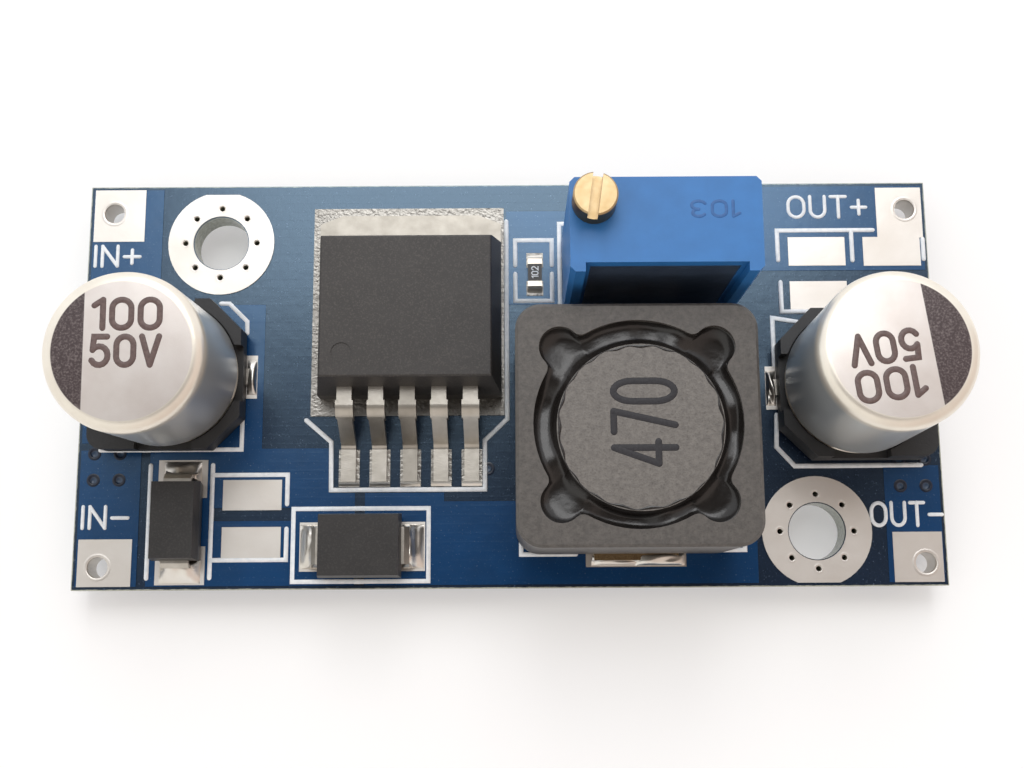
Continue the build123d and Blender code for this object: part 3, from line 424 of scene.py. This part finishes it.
# Pad-printed ink on the cans and stamped ink on the ferrite, thin and worn in places
can_ink = moulded_finish("brown print ink", "#54423f", "#685652", 0.45, 0.06, 0.002, 0.15)
ferrite_ink = moulded_finish("stamped ink", "#18181e", "#2a292d", 0.6, 0.06, 0.002, 0.12)
faded_ink = moulded_finish("faded blue ink", "#255690", "#2a62a0", 0.45, 0.06, 0.001, 0.15)
# Mask that sagged into a via: a dull blue-grey skin, and round it a dark collar whose colour is painted shade
# where the mask dips into the hole
via_skin = moulded_finish("mask skin over a via", "#33475f", "#2b3d54", 0.3, 0.2, 0.004)
painted_via_shade = moulded_finish("mask round a via", "#0c1a30", "#0a1628", 0.3, 0.2, 0.004)
can_height = 8.62            # from the can's foot to its flat top
can_foot = 1.0
can_radius = 4.03
can_rim = 0.58
can_face = can_radius - can_rim


def can_finish(name, top, up, outward, stripe_from):
    """Drawn aluminium can: a cool grey wall, a cream lacquered rim and bead, a satin top, and on
    the top a dark stripe beyond a straight line across it. Top is the middle of the top, up the
    can's axis, outward the direction in which the stripe lies."""
    made, tree, shader, place = material(name, 0.3)
    offset = add(tree, "ShaderNodeVectorMath", {0: place, 1: top * MM}, operation="SUBTRACT").outputs[0]
    reach = add(tree, "ShaderNodeVectorMath", {0: offset}, operation="LENGTH").outputs["Value"]
    along = add(tree, "ShaderNodeVectorMath", {0: offset, 1: outward}, operation="DOT_PRODUCT")
    flat = {"Value": reach, "From Min": (can_face + 0.02) * MM, "From Max": (can_face - 0.02) * MM}
    flat = add(tree, "ShaderNodeMapRange", flat).outputs[0]
    beyond = {"Value": along.outputs["Value"], "From Min": stripe_from * MM,
              "From Max": (stripe_from + 0.03) * MM}
    beyond = add(tree, "ShaderNodeMapRange", beyond).outputs[0]
    stripe = add(tree, "ShaderNodeMath", {0: beyond, 1: flat}, operation="MULTIPLY").outputs[0]
    satin = blended(tree, clouds(tree, place, 1.4), "#ded8d3", "#d4ccc6")
    lacquer = blended(tree, clouds(tree, place, 1.4), "#eee8db", "#e4ddd0")
    level = add(tree, "ShaderNodeVectorMath", {0: offset, 1: up}, operation="DOT_PRODUCT").outputs["Value"]
    below_rim = {"Value": level, "From Min": -0.5 * MM, "From Max": -1.1 * MM}
    below_rim = add(tree, "ShaderNodeMapRange", below_rim).outputs[0]
    over_bead = {"Value": level, "From Min": (0.75 - can_height) * MM, "From Max": (0.95 - can_height) * MM}
    over_bead = add(tree, "ShaderNodeMapRange", over_bead).outputs[0]
    wall = add(tree, "ShaderNodeMath", {0: below_rim, 1: over_bead}, operation="MULTIPLY").outputs[0]
    lacquer = blended(tree, wall, lacquer, "#bfc3c4")
    shell = blended(tree, flat, lacquer, satin)
    # The stripe's ink is thin, so metal specks of about 0.1 mm show through
    speckle = blended(tree, clouds(tree, place, 0.1, 0.45, 0.7), "#453a3b", "#716766")
    tree.links.new(blended(tree, stripe, shell, speckle), shader.inputs["Base Color"])
    bare = add(tree, "ShaderNodeMath", {0: stripe, 1: -0.35, 2: 0.6}, operation="MULTIPLY_ADD").outputs[0]
    tree.links.new(bare, shader.inputs["Metallic"])
    bumps = raised(tree, clouds(tree, place, 0.07, 0.2, 0.8), 0.002)
    tree.links.new(bumps, shader.inputs["Normal"])
    return made


# Finishes of the bodies that keep their solid shape
finishes = {
    "circuit_board": navy_mask,
    "top_copper": blue_mask,
    "regulator_lands": frosted_tin,
    "resistor_lands": frosted_tin,
    "regulator_body": epoxy,
    "regulator_tab": shade_painted_tab_tin,
    "catch_diode_body": diode_epoxy,
    "protection_diode_body": diode_epoxy,
    "inductor_shield": ferrite,
    "inductor_drum": drum_ferrite,
    "inductor_winding": winding,
    "inductor_terminal_front": gold_tin,
    "inductor_terminal_back": gold_tin,
    "input_capacitor_base": base_plastic,
    "output_capacitor_base": base_plastic,
    "resistor_body": chip_black,
    "trimmer_housing": trimmer_blue,
    "trimmer_potting": potting,
    "trimmer_element": ceramic,
    "adjusting_screw": brass,
    "screw_seal": seal_rubber,
    "worm_wheel": wheel_plastic,
    "wiper": spring,
}
groups = (
    ("_lands", tinned), ("_land", tinned), ("_pad", tinned), ("_pads", tinned),
    ("_solder", solder), ("_lead_", plated_tin), ("_terminal_", plated_tin),
    ("_cap_", steel_pin), ("_pin_", steel_pin),
)
for name, node in nodes.items():
    finish = finishes.get(name) or next((kind for word, kind in groups if word in name), None)
    if finish:
        for slot in node.material_slots:
            slot.material = finish


# Capacitor cans: the same size as the plain solids, with a rolled rim and bead


def can_profile():
    """Radius and height from the foot's middle out, up the wall and over the rim."""
    foot_curl = arc((3.7, can_foot + 0.2), (0.2, 0.2), -90, 0, 6)
    bead = arc((3.98, 1.6), (0.38, 0.3), 260, 100, 12)
    lip = arc((3.87, 2.06), (0.16, 0.16), -60, 0, 6)
    rim = arc((can_radius - can_rim, can_foot + can_height - 0.6), (can_rim, 0.6), 0, 90, 12)
    return np.vstack([[(0, can_foot)], foot_curl, bead, lip, rim, [(0, can_foot + can_height)]])


def place_on_can(node, lean):
    """The foot point and the tilted axes of a can that leans about X by an angle in degrees."""
    low, high = extent(node)
    tilt = math.radians(lean)
    up = np.array([0, -math.sin(tilt), math.cos(tilt)])
    across = np.array([0, math.cos(tilt), math.sin(tilt)])
    middle = (low + high) / 2
    # The solid's middle lies half way up the can
    foot = middle - up * (can_foot + can_height / 2)
    return foot, across, up


# Each can: lean, direction of its stripe in degrees, how far out the stripe starts, the turn of
# its print in degrees, and the low corners of its two lines
cans = (
    ("input_capacitor", 2.5, 180, 1.86, 0, ((-1.62, 0.98), (-1.62, -0.85))),
    ("output_capacitor", -1.7, 7, 1.55, 187, ((-1.05, 0.86), (-1.05, -0.97))),
)
for name, lean, stripe_turn, stripe_from, print_turn, corners in cans:
    foot, across, up = place_on_can(f"{name}_can", lean)
    top = foot + up * (can_foot + can_height)

    def towards(degrees):
        """A direction on the can's tilted top."""
        turn = math.radians(degrees)
        return math.cos(turn) * np.array([1, 0, 0]) + math.sin(turn) * across

    finish = can_finish(f"{name} aluminium", top, up, towards(stripe_turn), stripe_from)
    can = piece(f"{name}_drawn_can", [turned(can_profile(), foot, up, 128)], finish)
    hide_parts(f"{name}_can")
    x_axis = towards(print_turn)
    y_axis = np.cross(up, x_axis)
    figures = []
    for text, corner in zip(("100", "50V"), corners):
        origin = top + up * 0.002 + x_axis * corner[0] + y_axis * corner[1]
        figures += [laid(part, origin, x_axis, y_axis) for part in lettering(text, 3.6, 1.7, 0.3, 0.012)]
    piece(f"{name}_print", figures, can_ink)


# Legend on the board

ink = 0.012
line_width = 0.27
legend_lines = {
    "input_capacitor_legend": [
        [(-22.73, -3.79), (-14.9, -3.79), (-14.9, -2.18)],
        [(-16.3, 4.56), (-15.84, 4.55), (-14.8, 3.51), (-14.78, 2.85)],
    ],
    "output_capacitor_legend": [
        [(16.35, 3.3), (14.95, 3.54), (14.95, 0.65)],
        [(14.96, -2.03), (14.88, -3.83), (15.85, -4.9), (22.85, -4.88)],
    ],
    "protection_diode_legend": [
        [(-19.9, -10.84), (-19.9, -4.67)],
        [(-16.45, -10.84), (-16.45, -4.67)],
    ],
    "left_spare_legend": [
        [(-16.41, -5.21), (-12.29, -5.21), (-12.29, -6.83)],
        [(-12.29, -8.21), (-12.29, -9.89), (-16.41, -9.89)],
    ],
    "regulator_legend": [
        [(-11.32, -2.18), (-9.91, -3.4), (-9.88, -6.08), (-1.36, -6.08), (-1.36, -3.36), (-0.1, -2.15),
         (-0.1, 9.29)],
    ],
    "resistor_legend": [
        [(0.4, 6.71), (0.4, 8.18), (2.49, 8.18), (2.49, 6.71)],
        [(0.4, 6.18), (0.4, 4.61), (2.49, 4.61), (2.49, 6.18)],
    ],
    "trimmer_legend": [[(3.62, 9.15), (2.93, 9.15), (2.93, 4.4)]],
    "inductor_legend": [
        [(0.62, -8.34), (0.62, -9.68), (3.6, -9.68)],
        [(9.8, -9.5), (12.91, -9.5), (12.91, -8.9)],
    ],
    "right_spare_legend": [
        [(20.9, 8.67), (15.42, 8.67), (15.42, 6.92)],
        [(19.67, 8.51), (19.67, 6.89)],
        [(23.75, 8.1), (23.75, 6.95)],
        [(15.5, 5.6), (15.5, 3.9), (17.2, 3.9)],
    ],
}
catch_box = [(-11.92, -11.09), (-4.47, -11.09), (-4.47, -7.11), (-11.92, -7.11)]
sunk = board_top - mask_top    # the legend stands on the mask, which is this much higher
laid_lines = 0
for name, paths in legend_lines.items():
    parts = []
    for path in paths:
        laid_lines += 1
        # Each line lies a hair higher than the last, so lines that meet share no plane
        level = (ink - sunk) * (1 + 0.02 * laid_lines)
        parts.append(laid(ribbon(path, line_width, level), (0, 0, board_top)))
    piece(name, parts, silk_ink)
catch_line = laid(ribbon(catch_box, line_width, ink - sunk, closed=True), (0, 0, board_top))
piece("catch_diode_legend", [catch_line], silk_ink)

# Words beside the corner pads: text, low corner, width and height
labels = {
    "input_plus_label": ("IN+", (-23.7, 6.69), 2.75, 1.38),
    "input_minus_label": ("IN-", (-23.65, -8.2), 2.7, 1.38),
    "output_plus_label": ("OUT+", (16.02, 9.35), 4.67, 1.44),
    "output_minus_label": ("OUT-", (19.85, -8.32), 4.1, 1.46),
}
for name, (text, corner, width, height) in labels.items():
    parts = lettering(text, width, height, 0.22, ink - sunk)
    piece(name, [laid(part, (*corner, board_top)) for part in parts], silk_ink)


# Figures stamped on the inductor's drum, turned a quarter turn to the left
drum_low, drum_high = extent("inductor_drum")
stamp = lettering("470", 4.5, 3.4, 0.34, 0.008)
stamp_corner = (8.45, -5.75, drum_high[2] + 0.001)
parts = [laid(part, stamp_corner, (0, 1, 0), (-1, 0, 0)) for part in stamp]
piece("inductor_stamp", parts, ferrite_ink)

# Figures on the resistor and faded ones on the trimmer's top
resistor_low, resistor_high = extent("resistor_body")
chip_marks = lettering("102", 0.72, 0.42, 0.06, 0.003)
chip_corner = (resistor_low[0] + 0.6, (resistor_low[1] + resistor_high[1]) / 2 - 0.36, resistor_high[2])
parts = [laid(part, chip_corner, (0, 1, 0), (-1, 0, 0)) for part in chip_marks]
piece("resistor_mark", parts, silk_ink)
trimmer_high = extent("trimmer_housing")[1]
trimmer_marks = lettering("103", 2.6, 0.95, 0.16, 0.003)
mark_corner = (trimmer_high[0] - 1.0, trimmer_high[1] - 1.2, trimmer_high[2])
parts = [laid(part, mark_corner, (-1, 0, 0), (0, -1, 0)) for part in trimmer_marks]
piece("trimmer_mark", parts, faded_ink)


# Vias, rims of the holes, and lands under the board

board_left, board_right = board_low[0], board_high[0]
via_pitch = (1.42, 1.47)
via_groups = ((board_left + 1.65, -4.72), (board_right - 1.65, -5.3))
vias = [(-1.18, -4.94)] + [
    (x + i * via_pitch[0] / 2, y + j * via_pitch[1] / 2)
    for x, y in via_groups for i in (-1, 1) for j in (-1, 1)
]
via_collar = [(0.17, -0.05), (0.2, 0.002), (0.27, 0.008), (0.34, 0.008), (0.37, 0.0)]
via_dish = [(0, -0.06), (0.1, -0.055), (0.19, -0.03), (0.21, -0.005)]
collars = [turned(via_collar, (x, y, mask_top), steps=32) for x, y in vias]
# The collars' dark colour is painted shade round each hole
piece("via_collars", collars, painted_via_shade)
dishes = [turned(via_dish, (x, y, mask_top), steps=32) for x, y in vias]
piece("via_skins", dishes, via_skin)

# Rolled rims of plating at the screw rings' small holes and at the wire holes
screw_holes = {"left_screw_land": (-16.42, 8.11), "right_screw_land": (16.9, -8.5)}
wire_holes = [(x, y) for x in (-22.6, 22.8) for y in (-10.25, 9.9)]
stitch_rim = [(0.13, -0.12), (0.15, -0.01), (0.2, 0.006), (0.25, 0.003), (0.28, 0.0)]
for name, (x, y) in screw_holes.items():
    turn = np.radians(np.arange(8) * 45)
    spots = np.column_stack([x + 2.04 * np.cos(turn), y + 2.04 * np.sin(turn)])
    rims = [turned(stitch_rim, (*spot, land_top), steps=24) for spot in spots]
    piece(f"{name}_rims", rims, tinned)
wire_rim = [(0.55, -0.12), (0.57, -0.01), (0.62, 0.012), (0.7, 0.008), (0.76, 0.0)]
rims = [turned(wire_rim, (x, y, land_top), steps=48) for x, y in wire_holes]
piece("wire_hole_rims", rims, tinned)
under_rings = [(x, y, 1.6, 2.85) for x, y in screw_holes.values()]
under_rings += [(x, y, 0.62, 1.1) for x, y in wire_holes]
rings = [
    turned([(near, 0), (near, -0.03), (far, -0.03), (far, 0), (near, 0)], (x, y, board_low[2]), steps=64)
    for x, y, near, far in under_rings
]
piece("underside_lands", rings, tinned)


glue_node = nodes["inductor_glue"]
glue_low = extent("inductor_glue")[0]
shield_low, shield_high = extent("inductor_shield")
moat_centre = (shield_low[:2] + shield_high[:2]) / 2
drum_centre = (drum_low[:2] + drum_high[:2]) / 2


def moat_edge(angle):
    """The moat's outer radius at each angle about its centre, read from the plain glue's rim."""
    count = len(glue_node.data.vertices)
    spots = np.empty(count * 3)
    glue_node.data.vertices.foreach_get("co", spots)
    spots = spots.reshape(-1, 3)
    world = np.array(glue_node.matrix_world)
    spots = (spots @ world[:3, :3].T + world[:3, 3]) / MM
    away = spots[:, :2] - moat_centre
    radius = np.hypot(away[:, 0], away[:, 1])
    rim = radius > 4.9
    turn = np.arctan2(away[rim, 1], away[rim, 0])
    order = np.argsort(turn)
    return np.interp(angle, turn[order], radius[rim][order], period=2 * math.pi)


def glue_ring():
    """Glue round the moat: at each angle a closed section runs from a ragged edge on the drum,
    down its side, over a wavy sagging pool, up the outer wall and back underneath."""
    angle = np.linspace(0, 2 * math.pi, 360, endpoint=False)
    outer = moat_edge(angle) + 0.02
    drum_radius = 4.2
    shift = drum_centre - moat_centre
    facing = shift[0] * np.cos(angle) + shift[1] * np.sin(angle)
    inner = facing + drum_radius
    ragged = np.clip(wander(angle, 3, (4, 7, 12, 19), 0.06) + 0.1, 0.03, 0.24)
    drum_top, wall_top, floor = drum_high[2], shield_high[2], glue_low[2]
    pool = wall_top - 0.62 + wander(angle, 8, (3, 5, 8, 13), 0.09)
    climb = wall_top - 0.2 + wander(angle, 12, (4, 7, 11, 17), 0.1)
    climb = np.minimum(climb, wall_top - 0.05)
    sections = [
        (inner - ragged - 0.03, np.full_like(angle, drum_top - 0.02)),
        (inner - ragged, np.full_like(angle, drum_top + 0.012)),
        (inner - ragged * 0.3, np.full_like(angle, drum_top + 0.004)),
        (inner + 0.05, np.full_like(angle, drum_top - 0.09)),
    ]
    for share in np.linspace(0.12, 0.97, 12):
        dip = (2 * share - 1) ** 4
        level = np.where(share < 0.5, drum_top - 0.15, climb)
        sections.append((inner + 0.05 + (outer - inner - 0.05) * share, pool + (level - pool) * dip))
    sections.append((outer, climb))
    sections.append((outer, np.full_like(angle, floor)))
    sections.append((inner - 0.02, np.full_like(angle, floor)))
    radius = np.stack([r for r, z in sections], axis=1)
    level = np.stack([z for r, z in sections], axis=1)
    x = moat_centre[0] + radius * np.cos(angle)[:, None]
    y = moat_centre[1] + radius * np.sin(angle)[:, None]
    return np.stack([x, y, level], axis=2), grid_faces(360, len(sections), True, True)


glue = piece("inductor_glue_ring", [glue_ring()], glue_gloss)
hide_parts("inductor_glue")


def lump(low, high, foot, height, seed, lean=(0, 0)):
    """A pool of solder on a rectangle: height over it falls off as one less the fourth power of
    the distance to each edge, times a seeded wavy field and a lean to one side, and a flat
    sheet closes it below."""
    source = np.random.default_rng(seed)
    u = np.linspace(-1, 1, 33)[:, None]
    v = np.linspace(-1, 1, 33)[None, :]
    dome = (1 - u ** 4) * (1 - v ** 4) * (1 + lean[0] * u + lean[1] * v)
    field = np.ones((33, 33))
    for wave in (1.2, 1.9, 2.8):
        turn, phase = source.uniform(0, 2 * math.pi, 2)
        field += source.normal() * 0.13 * np.sin(2 * wave * (u * np.cos(turn) + v * np.sin(turn)) + phase)
    level = foot + height * dome * np.clip(field, 0.2, 1.8) / 1.6
    x = (low[0] + high[0]) / 2 + (high[0] - low[0]) / 2 * u + 0 * v
    y = (low[1] + high[1]) / 2 + (high[1] - low[1]) / 2 * v + 0 * u
    top = np.stack([x, y, level], axis=2)
    under = np.stack([x, y, np.full_like(x, foot - 0.005)], axis=2)[:, ::-1]
    shell = np.concatenate([top, under], axis=1)
    return shell, grid_faces(33, 66, wrap_columns=True)


# Solder that rose over the terminals and lands
front_low, front_high = extent("inductor_terminal_front")
seat = front_low[2]
left, right, front = front_low[0], front_high[0], front_low[1]
pools = {
    "inductor_front_pool": [
        ((left + 2.2, front - 0.3), (right + 0.35, front + 0.4), seat, 0.62, 5),
        ((left - 0.1, front - 0.25), (left + 2.4, front + 0.25), seat, 0.38, 9),
    ],
}
for name in ("input_capacitor_lead_plus", "input_capacitor_lead_minus",
             "output_capacitor_lead_plus", "output_capacitor_lead_minus"):
    low, high = extent(name)
    side = 1 if name in ("input_capacitor_lead_plus", "output_capacitor_lead_minus") else -1
    tip = high[0] if side > 0 else low[0]
    x_low, x_high = sorted((tip - side * 0.4, tip + side * 0.14))
    corners = (x_low, low[1] - 0.55), (x_high, high[1] + 0.5)
    pools[f"{name}_pool"] = [(*corners, land_top, 0.5, len(pools) + 20)]
# Banks of solder against the ends of the diodes and the resistor: low and high corner, height,
# and which way the bank rises
banks = {
    "catch_diode_banks": [
        ((-11.5, -10.4), (-10.3, -8.0), 0.95, (0.8, 0)),
        ((-5.9, -10.4), (-4.72, -8.0), 0.95, (-0.8, 0)),
    ],
    "protection_diode_banks": [
        ((-19.2, -11.15), (-16.95, -9.9), 0.9, (0, 0.8)),
        ((-19.1, -5.7), (-17.05, -4.45), 0.6, (0, -0.8)),
    ],
    "resistor_banks": [
        ((1.15, 5.15), (1.87, 5.62), 0.36, (0, 0.7)),
        ((1.15, 6.7), (1.87, 7.17), 0.36, (0, -0.7)),
    ],
}
first_bank_seed = 40
for name, spots in banks.items():
    pools[name] = [
        (low, high, land_top, height, first_bank_seed + i, lean)
        for i, (low, high, height, lean) in enumerate(spots)
    ]
for name, spots in pools.items():
    piece(name, [lump(*spot) for spot in spots], solder)


# Stage, lights and camera

floor_size = 1.2
floor_mesh = bpy.data.meshes.new("floor")
corner = floor_size / 2
floor_corners = [(-corner, -corner, 0), (corner, -corner, 0), (corner, corner, 0), (-corner, corner, 0)]
floor_mesh.from_pydata(floor_corners, [], [(0, 1, 2, 3)])
floor = bpy.data.objects.new("floor", floor_mesh)
bpy.context.scene.collection.objects.link(floor)
# White card: it keeps the soft shadow, and shows as white to the camera and in reflections
card, tree, shader, place = material("white card", 0.9)
shader.inputs["Base Color"].default_value = linear("#fbfbfb")
glow = add(tree, "ShaderNodeEmission", {"Color": (1, 1, 1, 1), "Strength": 1.0})
ray = add(tree, "ShaderNodeLightPath")
seen = add(tree, "ShaderNodeMath", {0: ray.outputs["Is Camera Ray"], 1: ray.outputs["Is Glossy Ray"]},
           operation="MAXIMUM")
seen = add(tree, "ShaderNodeMath", {0: seen.outputs[0], 1: ray.outputs["Is Transmission Ray"]},
           operation="MAXIMUM")
share = add(tree, "ShaderNodeMath", {0: seen.outputs[0], 1: 0.3}, operation="MULTIPLY")
mix = add(tree, "ShaderNodeMixShader", {0: share.outputs[0], 1: shader.outputs[0], 2: glow.outputs[0]})
end = next(node for node in tree.nodes if node.type == "OUTPUT_MATERIAL")
tree.links.new(mix.outputs[0], end.inputs["Surface"])
floor_mesh.materials.append(card)

# The room seen from the board: a bright window side to the back and left, a dim warm side to
# the right, and straight above, where the glossy mask looks, the dark of the camera and ceiling
world = bpy.data.worlds.new("room")
world.use_nodes = True
bpy.context.scene.world = world
tree = world.node_tree
tree.nodes.clear()
toward = add(tree, "ShaderNodeTexCoord").outputs["Generated"]
height = add(tree, "ShaderNodeSeparateXYZ", {0: toward}).outputs


def rising(value, low, high):
    """A share that rises from 0 to 1 between two values, eased at both ends."""
    inputs = {"Value": value, "From Min": low, "From Max": high}
    return add(tree, "ShaderNodeMapRange", inputs, interpolation_type="SMOOTHSTEP").outputs[0]


window = add(tree, "ShaderNodeVectorMath", {0: toward, 1: (-0.2, 0.98, 0.0)}, operation="DOT_PRODUCT")
walls = blended(tree, rising(height["X"], -0.5, 0.5), "#f0eeea", "#d6c5bc")
tone = blended(tree, rising(height["Z"], 0.86, 0.97), walls, "#35281f")
tone = blended(tree, rising(window.outputs["Value"], 0.06, 0.3), tone, "#fbfcff")
sky = add(tree, "ShaderNodeBackground", {"Color": tone, "Strength": 1.15})
add(tree, "ShaderNodeOutputWorld", {"Surface": sky.outputs[0]})


def lamp(name, place, target, width, height, power):
    """A soft oblong lamp at a place, turned to a target, both in metres."""
    light = bpy.data.lights.new(name, "AREA")
    light.shape = "RECTANGLE"
    light.size, light.size_y = width, height
    light.energy = power
    made = bpy.data.objects.new(name, light)
    made.location = place
    made.rotation_euler = (Vector(target) - Vector(place)).to_track_quat("-Z", "Y").to_euler()
    bpy.context.scene.collection.objects.link(made)


lamp("window", (0.0, 0.21, 0.5), (0, 0, 0), 0.3, 0.17, 0.55)
lamp("overhead", (0.02, 0.5, 0.5), (0, 0, 0), 0.3, 0.3, 0.95)

# The camera stands where the photograph was taken from: its place over the board, its three
# turns and its focal length were solved from the board's corners and holes
eye = np.array([0.0969, -12.6507, board_top + 70.2981])
turns = (-10.0665, 0.0614, 0.3456)
focal_pixels = 1270.695
picture_width = 1024
camera_data = bpy.data.cameras.new("camera")
camera_data.sensor_width = 36
camera_data.lens = focal_pixels * camera_data.sensor_width / picture_width
camera_data.clip_start = 0.001
camera = bpy.data.objects.new("camera", camera_data)
into_view = Euler([math.radians(turn) for turn in turns], "XYZ").to_matrix()
camera.matrix_world = Matrix.Translation(eye * MM) @ into_view.transposed().to_4x4()
bpy.context.scene.collection.objects.link(camera)
bpy.context.scene.camera = camera
bpy.context.scene.view_settings.view_transform = "Standard"
